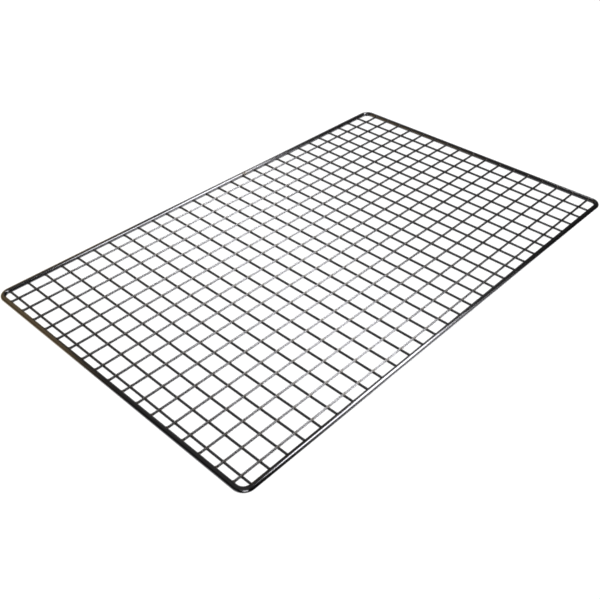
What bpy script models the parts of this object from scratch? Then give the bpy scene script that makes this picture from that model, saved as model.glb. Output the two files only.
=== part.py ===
"""Cooling rack: a welded grid of round wires inside one thicker round rod bent into a rectangle.

Metres, +Z up. X runs along the long side and Y along the short side. The origin is the middle of
the rack's outline, on the surface that the rack lies on. The short cross wires form the lower
layer of the grid and the long wires lie on top of them. Every wire stops at the inner side of the
frame rod, where the real rack is welded.
"""

import math

import bmesh
import bpy
from mathutils import Matrix, Vector

# Driving dimensions
ROD_DIAMETER = 0.0063
WIRE_DIAMETER = 0.0025
GRID_PITCH = 0.0254
CROSS_WIRES = 28
LONG_WIRES = 17
CORNER_RADIUS = 0.012

# From the frame's centre line to the middle of the first wire on each side: the grid isn't centred
LEFT_MARGIN = 0.0136
RIGHT_MARGIN = 0.0282
FRONT_MARGIN = 0.0168
BACK_MARGIN = 0.0241

# Clearances that stand for the welds, so that no two solids share a volume
LAYER_CLEARANCE = 0.0002
END_CLEARANCE = 0.0003

# Facets: a multiple of 4 on the rod gives it a flat facet at the bottom, at the top and at each side
ROD_SIDES = 16
WIRE_SIDES = 12
CORNER_STEPS = 8
SMOOTH_ANGLE = math.radians(50)

# Worked out from the above: half sizes of the frame's centre line, and the two layers' heights
FRAME_HALF_X = ((CROSS_WIRES - 1) * GRID_PITCH + LEFT_MARGIN + RIGHT_MARGIN) / 2
FRAME_HALF_Y = ((LONG_WIRES - 1) * GRID_PITCH + FRONT_MARGIN + BACK_MARGIN) / 2
ROD_APOTHEM = ROD_DIAMETER / 2
ROD_CORNER_RADIUS = ROD_APOTHEM / math.cos(math.pi / ROD_SIDES)
LAYER_OFFSET = (WIRE_DIAMETER + LAYER_CLEARANCE) / 2
CROSS_HEIGHT = ROD_APOTHEM - LAYER_OFFSET
LONG_HEIGHT = ROD_APOTHEM + LAYER_OFFSET
END_SETBACK = ROD_CORNER_RADIUS + END_CLEARANCE
CROSS_LENGTH = 2 * (FRAME_HALF_Y - END_SETBACK)
LONG_LENGTH = 2 * (FRAME_HALF_X - END_SETBACK)


def clear_scene():
    for thing in list(bpy.data.objects):
        bpy.data.objects.remove(thing, do_unlink=True)


def steel(name, colour, roughness):
    """A bright metal finish."""
    material = bpy.data.materials.new(name)
    material.use_nodes = True
    shader = material.node_tree.nodes["Principled BSDF"]
    shader.inputs["Base Color"].default_value = (*colour, 1.0)
    shader.inputs["Metallic"].default_value = 1.0
    shader.inputs["Roughness"].default_value = roughness
    return material


def finished_mesh(name, form, material):
    """The mesh made from a bmesh, facing outwards, smooth round its curve and sharp at its ends."""
    bmesh.ops.recalc_face_normals(form, faces=form.faces)
    mesh = bpy.data.meshes.new(name)
    form.to_mesh(mesh)
    form.free()
    mesh.shade_smooth()
    mesh.set_sharp_from_angle(angle=SMOOTH_ANGLE)
    mesh.materials.append(material)
    return mesh


def place(name, mesh, location, parent):
    thing = bpy.data.objects.new(name, mesh)
    thing.location = location
    thing.parent = parent
    bpy.context.scene.collection.objects.link(thing)
    return thing


def frame_stations():
    """Points round the rod's centre line, each with the outward direction there."""
    bend_x = FRAME_HALF_X - CORNER_RADIUS
    bend_y = FRAME_HALF_Y - CORNER_RADIUS
    corners = ((1, 1, 0), (-1, 1, 90), (-1, -1, 180), (1, -1, 270))
    for side_x, side_y, start in corners:
        centre = Vector((side_x * bend_x, side_y * bend_y, 0))
        for step in range(CORNER_STEPS + 1):
            angle = math.radians(start + 90 * step / CORNER_STEPS)
            outward = Vector((math.cos(angle), math.sin(angle), 0))
            yield centre + CORNER_RADIUS * outward, outward


def frame_mesh(material):
    """One closed rod: a polygon section carried round the rounded rectangle."""
    form = bmesh.new()
    up = Vector((0, 0, 1))
    rings = []
    for point, outward in frame_stations():
        ring = []
        for side in range(ROD_SIDES):
            angle = 2 * math.pi * (side + 0.5) / ROD_SIDES
            offset = math.cos(angle) * outward + math.sin(angle) * up
            ring.append(form.verts.new(point + ROD_CORNER_RADIUS * offset))
        rings.append(ring)
    for index, ring in enumerate(rings):
        following = rings[(index + 1) % len(rings)]
        for side in range(ROD_SIDES):
            beside = (side + 1) % ROD_SIDES
            form.faces.new((ring[side], following[side], following[beside], ring[beside]))
    return finished_mesh("frame_rod", form, material)


def wire_mesh(name, length, turn, material):
    """A straight round wire, centred on its own origin, with square-cut ends."""
    form = bmesh.new()
    bmesh.ops.create_cone(
        form,
        cap_ends=True,
        segments=WIRE_SIDES,
        radius1=WIRE_DIAMETER / 2,
        radius2=WIRE_DIAMETER / 2,
        depth=length,
        matrix=turn,
    )
    return finished_mesh(name, form, material)


def build_frame(parent):
    material = steel("frame_rod_steel", (0.58, 0.58, 0.59), 0.18)
    place("frame_rod", frame_mesh(material), (0, 0, ROD_APOTHEM), parent)


def build_cross_wires(parent):
    """The lower layer, from the left side to the right side."""
    material = steel("cross_wire_steel", (0.55, 0.55, 0.56), 0.2)
    mesh = wire_mesh("cross_wire", CROSS_LENGTH, Matrix.Rotation(math.pi / 2, 3, "X").to_4x4(), material)
    for number in range(CROSS_WIRES):
        across = -FRAME_HALF_X + LEFT_MARGIN + number * GRID_PITCH
        place(f"cross_wire_{number + 1:02d}", mesh, (across, 0, CROSS_HEIGHT), parent)


def build_long_wires(parent):
    """The upper layer, from the front side to the back side."""
    material = steel("long_wire_steel", (0.6, 0.6, 0.61), 0.2)
    mesh = wire_mesh("long_wire", LONG_LENGTH, Matrix.Rotation(math.pi / 2, 3, "Y").to_4x4(), material)
    for number in range(LONG_WIRES):
        along = -FRAME_HALF_Y + FRONT_MARGIN + number * GRID_PITCH
        place(f"long_wire_{number + 1:02d}", mesh, (0, along, LONG_HEIGHT), parent)


def main():
    clear_scene()
    rack = bpy.data.objects.new("cooling_rack", None)
    bpy.context.scene.collection.objects.link(rack)
    build_frame(rack)
    build_cross_wires(rack)
    build_long_wires(rack)


main()
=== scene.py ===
"""The looks of the cooling rack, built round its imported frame.

Metres, +Z up, in the frame's own place: X runs along the long side, Y along the short side. Each
straight solid of the frame gets a finer piece that stands for it: a drawn wire that wanders a
little and is pressed flat where the welding electrodes held it, and a smooth bent rod. The welds
are pieces of their own.
"""

import math
import random

import bpy
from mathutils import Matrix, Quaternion, Vector


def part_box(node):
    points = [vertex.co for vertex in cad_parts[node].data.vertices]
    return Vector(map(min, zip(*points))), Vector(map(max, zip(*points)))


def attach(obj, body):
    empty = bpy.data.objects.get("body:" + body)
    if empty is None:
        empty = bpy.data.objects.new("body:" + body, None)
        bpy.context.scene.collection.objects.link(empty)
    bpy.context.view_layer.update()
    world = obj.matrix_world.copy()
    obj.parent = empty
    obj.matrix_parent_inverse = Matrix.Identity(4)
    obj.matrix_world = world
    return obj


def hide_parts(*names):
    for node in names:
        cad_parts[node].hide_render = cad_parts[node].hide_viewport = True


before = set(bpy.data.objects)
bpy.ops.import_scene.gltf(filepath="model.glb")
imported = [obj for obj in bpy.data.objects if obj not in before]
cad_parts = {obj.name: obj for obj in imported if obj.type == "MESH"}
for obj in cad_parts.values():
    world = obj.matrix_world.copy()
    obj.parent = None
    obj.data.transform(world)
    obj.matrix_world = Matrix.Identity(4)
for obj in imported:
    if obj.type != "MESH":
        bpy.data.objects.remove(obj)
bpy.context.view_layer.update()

# Sizes read from the frame
ROD_LOW, ROD_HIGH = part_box("frame_rod")
CROSS_NODES = sorted(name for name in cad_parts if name.startswith("cross_wire"))
LONG_NODES = sorted(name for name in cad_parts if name.startswith("long_wire"))
ROD_RADIUS = (ROD_HIGH.z - ROD_LOW.z) / 2
ROD_HEIGHT = (ROD_HIGH.z + ROD_LOW.z) / 2
HALF_X = (ROD_HIGH.x - ROD_LOW.x) / 2 - ROD_RADIUS
HALF_Y = (ROD_HIGH.y - ROD_LOW.y) / 2 - ROD_RADIUS
MM = 0.001
UP = Vector((0, 0, 1))

# The rod. Its two ends are butt-welded on the back side, and the weld is ground between two dips
CORNER_RADIUS = 12 * MM
ROD_SIDES = 32
CORNER_STEPS = 16
ROD_STEP = 24 * MM
BEND_THINNING = 0.03
SEAM_X = 60 * MM
SEAM_HALF_WIDTH = 1.8 * MM
SEAM_DIP = 0.12 * MM
SEAM_DIP_WIDTH = 0.9 * MM
SEAM_STEPS = 8
SEAM_STEP = 0.75 * MM
SEAM_TINT_WIDTH = 5 * MM

# The wires. Places along a wire are millimetres from a weld, or shares of the way between two welds
WIRE_SIDES = 16
WIRE_END_DEPTH = 0.55
WELD_SINK = 0.62 * MM
ELECTRODE_FLAT = 0.16 * MM
ELECTRODE_REACH = 1.9 * MM
WELD_BULGE = 0.07
WELD_SPREAD = 1.5 * MM
WELD_TINT_WIDTH = 2.6 * MM
WELD_STATIONS = (-3.4, -2.2, -1.6, -0.9, 0.0, 0.9, 1.6, 2.2, 3.4)
SPAN_STATIONS = (0.3, 0.5, 0.7)
END_STATION = 4 * MM

# How far a wire strays to the side: waves (how many along its length, and their height) and a shift
WANDER = ((0.5, 0.28 * MM), (1.5, 0.12 * MM), (5.0, 0.05 * MM))
WAVE_COUNTS = (0.7, 1.3)
WAVE_HEIGHTS = (0.4, 1.0)
PLACE_ERROR = 0.22 * MM

# The welds
NUGGET_AROUND = 16
NUGGET_LAYERS = 6
NUGGET_RADIUS = 1.45 * MM
NUGGET_WEB = 0.35 * MM
NUGGET_HALF_HEIGHT = 0.55 * MM
NUGGET_SIZES = (0.92, 1.1)
NUGGET_TURN = 0.15
NUGGET_ROUGHNESS = (0.97, 1.03)
COLLAR_SIDES = 18
COLLAR_LUMPS = 3
COLLAR_LUMP = 0.12
# Along the wire from the rod's inner side outwards, in millimetres, and the width in wire radii
COLLAR_PROFILE = (
    (-1.2, 0.98),
    (-0.9, 1.04),
    (-0.6, 1.12),
    (-0.3, 1.24),
    (0.0, 1.38),
    (0.4, 1.44),
    (1.0, 1.3),
)

# The finishes. The rod's and the long wires' colours are painted shade, darker than the cross wires' steel.
# drawn is how far the drawing lines spread a highlight round the strand
# The rod's colours are painted shade: the steel made darker than the cross wires', so that its reflections
# come out darker
ROD_FINISH_AND_PAINTED_SHADE = {
    "dull": (0.37, 0.37, 0.38),
    "bright": (0.43, 0.43, 0.44),
    "smooth": 0.08,
    "worn": 0.13,
    "heated": (0.4, 0.37, 0.33),
    "drawn": 0.3,
}
CROSS_FINISH = {
    "dull": (0.6, 0.61, 0.63),
    "bright": (0.68, 0.69, 0.71),
    "smooth": 0.3,
    "worn": 0.4,
    "heated": (0.5, 0.48, 0.45),
    "drawn": 0.9,
}
# The long wires' colours are painted shade: the steel made darker than the cross wires', to tone down their
# reflections of the lamps
LONG_FINISH_AND_PAINTED_SHADE = {
    "dull": (0.51, 0.51, 0.52),
    "bright": (0.59, 0.59, 0.6),
    "smooth": 0.42,
    "worn": 0.48,
    "heated": (0.5, 0.48, 0.45),
    "drawn": 1.0,
}
WELD_FINISH = {
    "dull": (0.45, 0.44, 0.43),
    "bright": (0.6, 0.6, 0.6),
    "smooth": 0.3,
    "worn": 0.4,
    "heated": (0.4, 0.36, 0.32),
    "drawn": 0.0,
}
# Noise as its scale, its detail and how it is stretched in the strand's own space
LINES_NOISE = (4200, 3, (1, 1, 0.004))
PATCHES_NOISE = (60, 4, (1, 1, 1))
GRAINS_NOISE = (1800, 2, (1, 1, 1))
NOISE_RANGE = (0.3, 0.7)
MOTTLE_RANGE = (0.7, 1.3)
PATCH_ROUGHNESS = 0.06
HEAT_ROUGHNESS = 0.12
HEAT_SHARES = (0.35, 1.0)
ACROSS_THE_LINES = 0.25
BUMP_STRENGTH = 0.08
BUMP_HEIGHT = 0.01 * MM

# The camera's place and the point it looks at, from the middle of the grid
CAMERA_FROM_GRID = Vector((-660.9, -580.7, 612.8)) * MM
CAMERA_LOOKS_AT = Vector((-102.6, -55.1, 0)) * MM
CAMERA_ROLL = math.radians(0.117)
CAMERA_LENS = 46.89
DISPLAY_GAMMA = 0.5
LENS_SOFTNESS = 2.0

# The stage
FLOOR_HALF = 6.0
FLOOR_COLOUR = (0.05, 0.05, 0.05)
WHITE = (1, 1, 1)
ROOM_WHITE = 1.05
# The room that the steel reflects. Its glow rises between two heights of the direction looked in
ROOM_COLOUR = (1.0, 0.98, 0.96)
ROOM_GLOW = (0.05, 0.35)
ROOM_GLOW_HEIGHTS = (0.0, 0.9)

# The lamps
NEUTRAL_LIGHT = (0.99, 0.99, 1.0)
WARM_LIGHT = (1.0, 0.77, 0.42)
VIOLET_LIGHT = (0.5, 0.48, 1.0)
CEILING = 1.5
CEILING_RADIANCE = 3.0
# Each panel overhead by its left, right, front and back edge
CEILING_PANELS = (
    (0.8, 1.3, -0.4, 0.45),
    (0.46, 1.45, -1.2, -0.4),
    (0.56, 1.75, -1.9, -1.2),
)
# Name, place, the point it faces, width and height, radiance, colour
SOFTBOXES = (
    ("front_softbox", (1.45, -1.95, 0.9), (1.45, 0, 0.9), (1.5, 1.2), 1.6, NEUTRAL_LIGHT),
    ("back_softbox", (0.9, 0.75, 0.35), (0.9, 0, 0.35), (0.9, 1.0), 0.35, NEUTRAL_LIGHT),
    ("table_softbox", (1.0, -0.95, -0.8), (1.0, -0.95, 0), (1.1, 1.6), 1.7, NEUTRAL_LIGHT),
    ("rear_softbox", (-1.6, -2.0, -0.3), (-0.36, -0.22, 0), (1.4, 1.4), 2.4, NEUTRAL_LIGHT),
    ("rear_fill", (-2.3, -2.3, 1.1), (0, 0, 0), (3.0, 1.6), 0.6, NEUTRAL_LIGHT),
    ("warm_softbox", (-0.3, 2.0, 1.2), (-0.3, 0, 1.2), (4.0, 1.0), 0.1, WARM_LIGHT),
)
# The same, for the reflectors that only the rod or only the long wires see
ROD_REFLECTORS = (
    ("warm_reflector", (-0.45, 0.6, 0), (-0.45, 0, 0), (1.0, 1.1), 0.38, WARM_LIGHT),
    ("violet_reflector", (0.9, 0.75, 0.35), (0.9, 0, 0.35), (0.9, 1.0), 0.46, VIOLET_LIGHT),
    ("under_reflector", (-0.9, 0.5, -0.4), (-0.9, 0.5, 0), (2.2, 1.6), 0.6, NEUTRAL_LIGHT),
)
LONG_WIRE_REFLECTORS = (
    ("far_reflector", (0.2, 0.42, 0.4), (0.2, 0.3, 0), (0.7, 0.3), 2.2, NEUTRAL_LIGHT),
)


def middle(node):
    low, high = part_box(node)
    return (low + high) / 2


def thickness(node):
    low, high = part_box(node)
    return high.z - low.z


def bell(distance, width):
    """1 at a distance of 0, and falling off smoothly."""
    return math.exp(-((distance / width) ** 2))


# The wires sink into each other at the welds, so the two layers lie closer than in the frame
WIRE_RADIUS = thickness(LONG_NODES[0]) / 2
LAYER_OFFSET = WIRE_RADIUS - WELD_SINK / 2
LONG_HEIGHT = ROD_HEIGHT + LAYER_OFFSET
CROSS_HEIGHT = ROD_HEIGHT - LAYER_OFFSET


def wander(node, length):
    """A function of the place along a wire: how far the wire lies beside its straight line there."""
    draw = random.Random(f"side {node}")
    waves = []
    for count, height in WANDER:
        count *= draw.uniform(*WAVE_COUNTS)
        height *= draw.uniform(*WAVE_HEIGHTS)
        waves.append((count, height, draw.uniform(0, math.tau)))
    shift = draw.uniform(-PLACE_ERROR, PLACE_ERROR)

    def offset(place):
        turn = math.tau * place / length
        return shift + sum(height * math.sin(count * turn + phase) for count, height, phase in waves)

    return offset


CROSS_PATHS = [(middle(node).x, wander(node, 2 * HALF_Y)) for node in CROSS_NODES]
LONG_PATHS = [(middle(node).y, wander(node, 2 * HALF_X)) for node in LONG_NODES]


def crossing(cross, long):
    """Where a cross wire and a long wire meet, seen from above."""
    base_x, side_x = CROSS_PATHS[cross]
    base_y, side_y = LONG_PATHS[long]
    y = base_y + side_y(base_x)
    x = base_x + side_x(y)
    return x, base_y + side_y(x)


class Strand:
    """The points and faces of a piece, and three facts of each point: its place round and along the
    strand, the way the strand runs there, and how near a weld is."""

    def __init__(self):
        self.points = []
        self.faces = []
        self.places = []
        self.runs = []
        self.welds = []

    def add(self, point, place, run, weld):
        self.points.append(tuple(point))
        self.places.extend(place)
        self.runs.extend(run)
        self.welds.append(weld)

    def piece(self, name, material):
        """A smooth mesh that rides on the rack."""
        mesh = bpy.data.meshes.new(name)
        mesh.from_pydata(self.points, [], self.faces)
        mesh.attributes.new("strand", "FLOAT_VECTOR", "POINT").data.foreach_set("vector", self.places)
        mesh.attributes.new("along", "FLOAT_VECTOR", "POINT").data.foreach_set("vector", self.runs)
        mesh.attributes.new("weld", "FLOAT", "POINT").data.foreach_set("value", self.welds)
        mesh.shade_smooth()
        mesh.materials.append(material)
        piece = bpy.data.objects.new(name, mesh)
        bpy.context.scene.collection.objects.link(piece)
        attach(piece, "root")
        return piece


def tube_faces(rings, sides, closed):
    """Quads between the rings of a tube, and its two end caps where it has ends."""
    faces = []
    for ring in range(rings if closed else rings - 1):
        here = ring * sides
        there = (ring + 1) % rings * sides
        for side in range(sides):
            beside = (side + 1) % sides
            faces.append((here + side, here + beside, there + beside, there + side))
    if not closed:
        last = (rings - 1) * sides
        faces.append(tuple(reversed(range(sides))))
        faces.append(tuple(range(last, last + sides)))
    return faces


def flipped(faces):
    return [tuple(reversed(face)) for face in faces]


def wire_places(crossings, end):
    """Places along a wire that need a ring: the two ends, round each weld, and between the welds."""
    places = [-end, end, END_STATION - end, end - END_STATION]
    for place in crossings:
        places.extend(place + step * MM for step in WELD_STATIONS)
    for before, after in zip(crossings, crossings[1:]):
        places.extend(before + (after - before) * share for share in SPAN_STATIONS)
    return sorted(place for place in places if -end <= place <= end)


def build_wire(node, along, path, height, outer, crossings, end, material):
    """One drawn wire. along is 0 for a wire along X and 1 along Y, and outer is the side that the
    electrode pressed flat: 1 above, -1 below."""
    across = 1 - along
    base, side = path
    run = (across, along, 0)
    strand = Strand()
    places = wire_places(crossings, end)
    for place in places:
        nearest = min(abs(place - other) for other in crossings)
        bulge = 1 + WELD_BULGE * bell(nearest, WELD_SPREAD)
        flat = WIRE_RADIUS - ELECTRODE_FLAT * bell(nearest, ELECTRODE_REACH) ** 2
        for corner in range(WIRE_SIDES):
            angle = math.tau * corner / WIRE_SIDES
            beside = WIRE_RADIUS * math.cos(angle)
            above = WIRE_RADIUS * math.sin(angle) * outer
            point = Vector((0, 0, height + outer * min(above, flat)))
            point[along] = place
            point[across] = base + side(place) + bulge * beside
            strand.add(point, (beside, above, place), run, bell(nearest, WELD_TINT_WIDTH))
    strand.faces = tube_faces(len(places), WIRE_SIDES, closed=False)
    if along == 1:
        strand.faces = flipped(strand.faces)
    piece = strand.piece(f"{node}_drawn", material)
    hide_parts(node)
    return piece


def build_cross_wires(material):
    end = HALF_Y - WIRE_END_DEPTH * ROD_RADIUS
    for number, node in enumerate(CROSS_NODES):
        crossings = [crossing(number, long)[1] for long in range(len(LONG_NODES))]
        piece = build_wire(node, 1, CROSS_PATHS[number], CROSS_HEIGHT, -1, crossings, end, material)


def build_long_wires(material):
    end = HALF_X - WIRE_END_DEPTH * ROD_RADIUS
    pieces = []
    for number, node in enumerate(LONG_NODES):
        crossings = [crossing(cross, number)[0] for cross in range(len(CROSS_NODES))]
        piece = build_wire(node, 0, LONG_PATHS[number], LONG_HEIGHT, 1, crossings, end, material)
        pieces.append(piece)
    return pieces


def add_nugget(strand, centre, run, draw):
    """A flattened lens of metal between two crossed wires, with a web in each of their four corners."""
    start = len(strand.points)
    size = draw.uniform(*NUGGET_SIZES)
    turn = draw.uniform(-NUGGET_TURN, NUGGET_TURN)
    pole = NUGGET_HALF_HEIGHT * size * UP
    strand.add(centre + pole, centre + pole, run, 1)
    for layer in range(1, NUGGET_LAYERS):
        tilt = math.pi * layer / NUGGET_LAYERS
        for corner in range(NUGGET_AROUND):
            angle = math.tau * corner / NUGGET_AROUND
            reach = NUGGET_RADIUS + NUGGET_WEB * math.sin(2 * angle + turn) ** 2
            reach *= size * draw.uniform(*NUGGET_ROUGHNESS) * math.sin(tilt)
            outward = Vector((math.cos(angle), math.sin(angle), 0))
            point = centre + reach * outward + math.cos(tilt) * pole
            strand.add(point, point, run, 1)
    strand.add(centre - pole, centre - pole, run, 1)
    last = len(strand.points) - 1
    rim = last - NUGGET_AROUND
    for corner in range(NUGGET_AROUND):
        beside = (corner + 1) % NUGGET_AROUND
        strand.faces.append((start, start + 1 + corner, start + 1 + beside))
        for layer in range(NUGGET_LAYERS - 2):
            here = start + 1 + layer * NUGGET_AROUND
            there = here + NUGGET_AROUND
            strand.faces.append((here + corner, there + corner, there + beside, here + beside))
        strand.faces.append((rim + corner, last, rim + beside))


def build_crossing_welds(material):
    """The welds along each long wire, as one piece."""
    for long, node in enumerate(LONG_NODES):
        draw = random.Random(f"nuggets {node}")
        strand = Strand()
        for cross in range(len(CROSS_NODES)):
            add_nugget(strand, Vector((*crossing(cross, long), ROD_HEIGHT)), (1, 0, 0), draw)
        piece = strand.piece(f"crossing_welds_{long + 1:02d}", material)


def add_collar(strand, foot, towards, run, draw):
    """The metal squeezed up round a wire's end. foot is on the rod's inner side, towards points outwards."""
    start = len(strand.points)
    beside = Vector((-towards.y, towards.x, 0))
    lumps = [draw.uniform(0, COLLAR_LUMP) for _ in range(COLLAR_LUMPS)]
    turns = [draw.uniform(0, math.tau) for _ in range(COLLAR_LUMPS)]
    for step, width in COLLAR_PROFILE:
        for corner in range(COLLAR_SIDES):
            angle = math.tau * corner / COLLAR_SIDES
            waves = (size * math.sin((count + 1) * angle + turns[count]) for count, size in enumerate(lumps))
            reach = WIRE_RADIUS * (1 + (width - 1) * (1 + sum(waves)))
            point = foot + step * MM * towards + reach * (math.cos(angle) * beside + math.sin(angle) * UP)
            strand.add(point, point, run, 1)
    faces = tube_faces(len(COLLAR_PROFILE), COLLAR_SIDES, closed=False)
    strand.faces.extend(tuple(start + corner for corner in face) for face in faces)


def build_end_welds(name, paths, along, sign, height, material):
    """The welds of the wire ends to one side of the rod, as one piece."""
    inner = math.sqrt(ROD_RADIUS**2 - LAYER_OFFSET**2)
    reach = sign * ((HALF_Y if along else HALF_X) - inner)
    towards = Vector((0, 0, 0))
    towards[along] = sign
    run = (1 - along, along, 0)
    draw = random.Random(f"collars {name}")
    strand = Strand()
    for base, side in paths:
        foot = Vector((0, 0, height))
        foot[along] = reach
        foot[1 - along] = base + side(reach)
        add_collar(strand, foot, towards, run, draw)
    return strand.piece(f"end_welds_{name}", material)


def build_rod_welds(material):
    for name, sign in (("front", -1), ("back", 1)):
        build_end_welds(name, CROSS_PATHS, 1, sign, CROSS_HEIGHT, material)
    for name, sign in (("left", -1), ("right", 1)):
        build_end_welds(name, LONG_PATHS, 0, sign, LONG_HEIGHT, material)


def corner_stations(side_x, side_y, start):
    """One bend of the rod: points, outward directions, and how far into the bend each one is."""
    centre = Vector((side_x * (HALF_X - CORNER_RADIUS), side_y * (HALF_Y - CORNER_RADIUS), 0))
    for step in range(CORNER_STEPS + 1):
        angle = math.radians(start + 90 * step / CORNER_STEPS)
        outward = Vector((math.cos(angle), math.sin(angle), 0))
        bend = math.sin(math.pi * step / CORNER_STEPS)
        yield centre + CORNER_RADIUS * outward, outward, bend


def on_back(outward):
    """Whether a station whose outward direction this is lies on the back side."""
    return outward.y > math.sqrt(0.5)


def straight_stations(begin, finish):
    """Stations between two bends, close together round the butt weld on the back side."""
    start, outward, _ = begin
    way = finish[0] - start
    length = way.length
    count = int(length / ROD_STEP)
    places = [length * number / count for number in range(1, count)]
    if on_back(outward):
        seam = start.x - SEAM_X
        reach = SEAM_STEPS * SEAM_STEP
        places = [place for place in places if abs(place - seam) > reach]
        places.extend(seam + step * SEAM_STEP for step in range(-SEAM_STEPS, SEAM_STEPS + 1))
    for place in sorted(places):
        yield start + way * (place / length), outward, 0


def rod_stations():
    """Round the rod's centre line, anticlockwise from the back right corner."""
    corners = ((1, 1, 0), (-1, 1, 90), (-1, -1, 180), (1, -1, 270))
    bends = [list(corner_stations(*corner)) for corner in corners]
    for bend, following in zip(bends, bends[1:] + bends[:1]):
        yield from bend
        yield from straight_stations(bend[-1], following[0])


def build_rod(material):
    strand = Strand()
    rings = 0
    run = 0
    previous = None
    for point, outward, bend in rod_stations():
        if previous is not None:
            run += (point - previous).length
        previous = point
        from_seam = abs(point.x - SEAM_X) if on_back(outward) else HALF_X
        dip = bell(from_seam - SEAM_HALF_WIDTH, SEAM_DIP_WIDTH)
        radius = ROD_RADIUS - SEAM_DIP * dip
        weld = bell(from_seam, SEAM_TINT_WIDTH)
        for corner in range(ROD_SIDES):
            angle = math.tau * corner / ROD_SIDES
            wide = math.cos(angle) * (1 - BEND_THINNING * bend)
            place = point + ROD_HEIGHT * UP + radius * (wide * outward + math.sin(angle) * UP)
            round_strand = (ROD_RADIUS * math.cos(angle), ROD_RADIUS * math.sin(angle), run)
            strand.add(place, round_strand, (-outward.y, outward.x, 0), weld)
        rings += 1
    strand.faces = flipped(tube_faces(rings, ROD_SIDES, closed=True))
    piece = strand.piece("frame_rod_bent", material)
    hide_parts("frame_rod")
    return piece


def enabled(sockets, name):
    """The socket of that name that is in use: a Mix node has one for each kind of value."""
    return next(each for each in sockets if each.name == name and each.enabled)


def noise(tree, vector, scale, detail, stretch):
    mapping = tree.nodes.new("ShaderNodeMapping")
    mapping.inputs["Scale"].default_value = stretch
    tree.links.new(vector, mapping.inputs["Vector"])
    texture = tree.nodes.new("ShaderNodeTexNoise")
    texture.inputs["Scale"].default_value = scale
    texture.inputs["Detail"].default_value = detail
    tree.links.new(mapping.outputs["Vector"], texture.inputs["Vector"])
    return texture.outputs["Fac"]


def ranged(tree, value, low, high, from_low=NOISE_RANGE[0], from_high=NOISE_RANGE[1]):
    """The value stretched to lie between low and high, from the range that noise mostly lies in."""
    node = tree.nodes.new("ShaderNodeMapRange")
    tree.links.new(value, node.inputs["Value"])
    node.inputs["From Min"].default_value = from_low
    node.inputs["From Max"].default_value = from_high
    node.inputs["To Min"].default_value = low
    node.inputs["To Max"].default_value = high
    return node.outputs["Result"]


def maths(tree, operation, first, second):
    """A sum or product of two sockets, or of a socket and a number."""
    node = tree.nodes.new("ShaderNodeMath")
    node.operation = operation
    tree.links.new(first, node.inputs[0])
    if isinstance(second, float):
        node.inputs[1].default_value = second
    else:
        tree.links.new(second, node.inputs[1])
    return node.outputs["Value"]


def blended(tree, share, first, second):
    """A mix of two colours, each a socket or three numbers."""
    node = tree.nodes.new("ShaderNodeMix")
    node.data_type = "RGBA"
    tree.links.new(share, enabled(node.inputs, "Factor"))
    for name, value in (("A", first), ("B", second)):
        if isinstance(value, tuple):
            enabled(node.inputs, name).default_value = (*value, 1)
        else:
            tree.links.new(value, enabled(node.inputs, name))
    return enabled(node.outputs, "Result")


def attribute(tree, name):
    node = tree.nodes.new("ShaderNodeAttribute")
    node.attribute_name = name
    return node


def bright_steel(name, dull, bright, smooth, worn, heated, drawn):
    """Drawn and plated steel: lines along the strand, cloudy patches, and a heat tint round the welds."""
    material = bpy.data.materials.new(name)
    material.use_nodes = True
    tree = material.node_tree
    shader = tree.nodes["Principled BSDF"]
    strand = attribute(tree, "strand").outputs["Vector"]
    near_weld = attribute(tree, "weld").outputs["Fac"]
    lines = noise(tree, strand, *LINES_NOISE)
    patches = noise(tree, strand, *PATCHES_NOISE)
    grains = noise(tree, strand, *GRAINS_NOISE)
    mottle = ranged(tree, maths(tree, "ADD", lines, patches), 0, 1, *MOTTLE_RANGE)
    metal = blended(tree, mottle, dull, bright)
    heat = maths(tree, "MULTIPLY", near_weld, ranged(tree, grains, *HEAT_SHARES))
    tree.links.new(blended(tree, heat, metal, heated), shader.inputs["Base Color"])
    rough = maths(tree, "ADD", ranged(tree, lines, smooth, worn), ranged(tree, patches, 0, PATCH_ROUGHNESS))
    rough = maths(tree, "ADD", rough, maths(tree, "MULTIPLY", heat, HEAT_ROUGHNESS))
    tree.links.new(rough, shader.inputs["Roughness"])
    shader.inputs["Metallic"].default_value = 1.0
    shader.inputs["Anisotropic"].default_value = drawn
    shader.inputs["Anisotropic Rotation"].default_value = ACROSS_THE_LINES
    tree.links.new(attribute(tree, "along").outputs["Vector"], shader.inputs["Tangent"])
    bump = tree.nodes.new("ShaderNodeBump")
    bump.inputs["Strength"].default_value = BUMP_STRENGTH
    bump.inputs["Distance"].default_value = BUMP_HEIGHT
    tree.links.new(maths(tree, "ADD", lines, maths(tree, "MULTIPLY", heat, grains)), bump.inputs["Height"])
    tree.links.new(bump.outputs["Normal"], shader.inputs["Normal"])
    return material


def build_floor():
    """A light table: it glows evenly, so that the rack casts no shadow on it."""
    half = FLOOR_HALF
    corners = [(-half, -half, 0), (half, -half, 0), (half, half, 0), (-half, half, 0)]
    mesh = bpy.data.meshes.new("floor")
    mesh.from_pydata(corners, [], [(0, 1, 2, 3)])
    floor = bpy.data.objects.new("floor", mesh)
    bpy.context.scene.collection.objects.link(floor)
    material = bpy.data.materials.new("pale_floor")
    material.use_nodes = True
    shader = material.node_tree.nodes["Principled BSDF"]
    shader.inputs["Base Color"].default_value = (*FLOOR_COLOUR, 1)
    shader.inputs["Specular IOR Level"].default_value = 0
    shader.inputs["Emission Color"].default_value = (*WHITE, 1)
    shader.inputs["Emission Strength"].default_value = 1.0
    mesh.materials.append(material)
    floor.visible_glossy = False
    floor.visible_shadow = False


def background(tree, colour):
    node = tree.nodes.new("ShaderNodeBackground")
    node.inputs["Color"].default_value = (*colour, 1)
    return node


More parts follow.
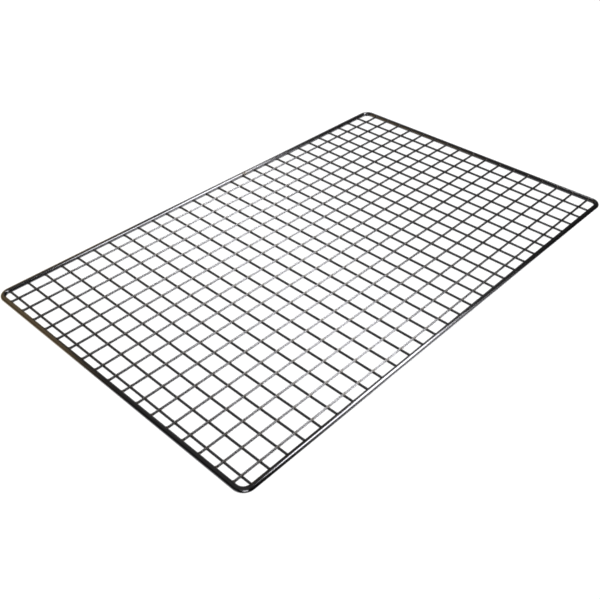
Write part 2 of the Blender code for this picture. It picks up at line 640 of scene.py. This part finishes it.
def build_world():
    """A white room for the eye, and for the reflections in the steel a dim one, lighter overhead."""
    world = bpy.data.worlds.new("studio")
    bpy.context.scene.world = world
    world.cycles.sampling_method = "NONE"
    world.use_nodes = True
    tree = world.node_tree
    tree.nodes.clear()
    white = background(tree, WHITE)
    white.inputs["Strength"].default_value = ROOM_WHITE
    dim = background(tree, ROOM_COLOUR)
    direction = tree.nodes.new("ShaderNodeTexCoord")
    height = tree.nodes.new("ShaderNodeSeparateXYZ")
    tree.links.new(direction.outputs["Generated"], height.inputs["Vector"])
    glow = ranged(tree, height.outputs["Z"], *ROOM_GLOW, *ROOM_GLOW_HEIGHTS)
    tree.links.new(glow, dim.inputs["Strength"])
    path = tree.nodes.new("ShaderNodeLightPath")
    mix = tree.nodes.new("ShaderNodeMixShader")
    output = tree.nodes.new("ShaderNodeOutputWorld")
    tree.links.new(path.outputs["Is Glossy Ray"], mix.inputs["Fac"])
    tree.links.new(white.outputs["Background"], mix.inputs[1])
    tree.links.new(dim.outputs["Background"], mix.inputs[2])
    tree.links.new(mix.outputs["Shader"], output.inputs["Surface"])


def softbox(name, place, aim, size, radiance, colour):
    """A rectangular lamp that faces the point aim and that the camera doesn't see."""
    lamp = bpy.data.lights.new(name, "AREA")
    lamp.shape = "RECTANGLE"
    lamp.size, lamp.size_y = size
    lamp.energy = radiance * math.pi * lamp.size * lamp.size_y
    lamp.color = colour
    holder = bpy.data.objects.new(name, lamp)
    holder.location = place
    holder.rotation_mode = "QUATERNION"
    holder.rotation_quaternion = (Vector(aim) - Vector(place)).to_track_quat("-Z", "Y")
    holder.visible_camera = False
    bpy.context.scene.collection.objects.link(holder)
    return holder


def build_reflectors(name, lamps, pieces):
    """Lamps that only some pieces see."""
    receivers = bpy.data.collections.new(f"{name}_receivers")
    for piece in pieces:
        receivers.objects.link(piece)
    for lamp in lamps:
        softbox(*lamp).light_linking.receiver_collection = receivers


def build_lights(rod, long_wires):
    """A fan of softboxes overhead and in front, weaker ones round about, and the reflectors."""
    for number, (left, right, front, back) in enumerate(CEILING_PANELS):
        place = Vector(((left + right) / 2, (front + back) / 2, CEILING))
        size = (right - left, back - front)
        softbox(f"ceiling_softbox_{number + 1}", place, place - UP, size, CEILING_RADIANCE, NEUTRAL_LIGHT)
    for lamp in SOFTBOXES:
        softbox(*lamp)
    build_reflectors("rod_reflector", ROD_REFLECTORS, [rod])
    build_reflectors("long_wire_reflector", LONG_WIRE_REFLECTORS, long_wires)


def build_camera():
    """The camera, with its soft lens and the contrast of its pictures."""
    left, right = middle(CROSS_NODES[0]).x, middle(CROSS_NODES[-1]).x
    front, back = middle(LONG_NODES[0]).y, middle(LONG_NODES[-1]).y
    grid = Vector(((left + right) / 2, (front + back) / 2, ROD_HEIGHT))
    view = CAMERA_LOOKS_AT - CAMERA_FROM_GRID
    data = bpy.data.cameras.new("camera")
    data.lens = CAMERA_LENS
    camera = bpy.data.objects.new("camera", data)
    camera.location = grid + CAMERA_FROM_GRID
    camera.rotation_mode = "QUATERNION"
    camera.rotation_quaternion = view.to_track_quat("-Z", "Y") @ Quaternion((0, 0, 1), CAMERA_ROLL)
    scene = bpy.context.scene
    scene.collection.objects.link(camera)
    scene.camera = camera
    scene.view_settings.view_transform = "Standard"
    scene.view_settings.gamma = DISPLAY_GAMMA
    scene.cycles.filter_width = LENS_SOFTNESS
    scene.cycles.denoising_input_passes = "RGB"


def main():
    build_camera()
    rod = build_rod(bright_steel("rod_steel", **ROD_FINISH_AND_PAINTED_SHADE))
    build_cross_wires(bright_steel("cross_wire_steel", **CROSS_FINISH))
    long_wires = build_long_wires(bright_steel("long_wire_steel", **LONG_FINISH_AND_PAINTED_SHADE))
    weld_steel = bright_steel("weld_steel", **WELD_FINISH)
    build_crossing_welds(weld_steel)
    build_rod_welds(weld_steel)
    build_floor()
    build_world()
    build_lights(rod, long_wires)


main()
